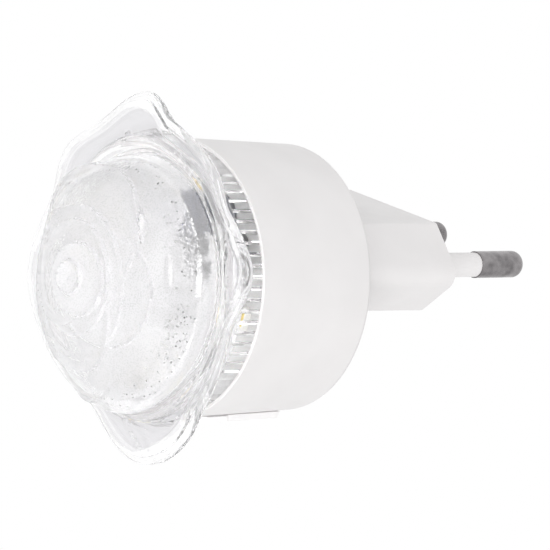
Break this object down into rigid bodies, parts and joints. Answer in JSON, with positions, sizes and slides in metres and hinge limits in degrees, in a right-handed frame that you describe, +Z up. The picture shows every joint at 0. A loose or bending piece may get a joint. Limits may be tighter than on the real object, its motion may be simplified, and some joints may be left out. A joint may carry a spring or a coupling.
{
  "type": "plug-in night light",
  "caption": "Plug-in night light: a clear moulded rose on a round white housing, with a mains plug behind and a small slide switch on the underside.",
  "frame": {"origin": "centre of the plug's engagement face, the face that meets the socket, midway between the pins", "axes": "+Y along the pins into the wall, +Z up, X along the line through both pins"},
  "size_m": [0.0498, 0.0792, 0.0525],
  "materials": {
    "white_plastic": "satin",
    "nickel_plate": "nickel plated",
    "sleeve_plastic": "satin",
    "ivory_plastic": "matt",
    "zinc_steel": "zinc plated",
    "switch_plastic": "satin",
    "phenolic": "matt",
    "brass_strip": "bright",
    "knob_plastic": "gloss",
    "black_plastic": "matt",
    "board_laminate": "lacquered",
    "red_epoxy": "gloss",
    "capacitor_sleeve": "gloss",
    "tan_lacquer": "gloss",
    "green_lacquer": "gloss",
    "white_board": "lacquered",
    "led_resin": "satin",
    "led_phosphor": "satin",
    "clear_plastic": "polished",
    "brown_insulation": "matt",
    "blue_insulation": "matt",
    "red_insulation": "matt",
    "black_insulation": "matt"
  },
  "bodies": {
    "lamp": {"housing": "white_plastic", "pin_left": "nickel_plate", "pin_right": "nickel_plate", "sleeve_left": "sleeve_plastic", "sleeve_right": "sleeve_plastic", "pin_clamp": "ivory_plastic", "clamp_screw": "zinc_steel", "switch_body": "switch_plastic", "switch_cap": "phenolic", "switch_terminals": "brass_strip", "driver_board": "board_laminate", "board_screws": "zinc_steel", "film_capacitor": "red_epoxy", "electrolytic_capacitor": "capacitor_sleeve", "bridge_rectifier": "black_plastic", "bleed_resistor": "tan_lacquer", "fuse_resistor": "green_lacquer", "led_board": "white_board", "led_packages": "led_resin", "led_phosphors": "led_phosphor", "fluted_collar": "clear_plastic", "rose_lens": "clear_plastic", "wire_live": "brown_insulation", "wire_switched": "brown_insulation", "wire_neutral": "blue_insulation", "wire_led_plus": "red_insulation", "wire_led_minus": "black_insulation"},
    "switch_slider": {"switch_knob": "knob_plastic", "switch_carrier": "black_plastic", "switch_contact": "brass_strip"}
  },
  "joints": [
    {"name": "switch_slide", "type": "slide", "parent": "lamp", "child": "switch_slider", "axis": [0, -0.9994, -0.0357], "range_m": [0, 0.0026]}
  ]
}
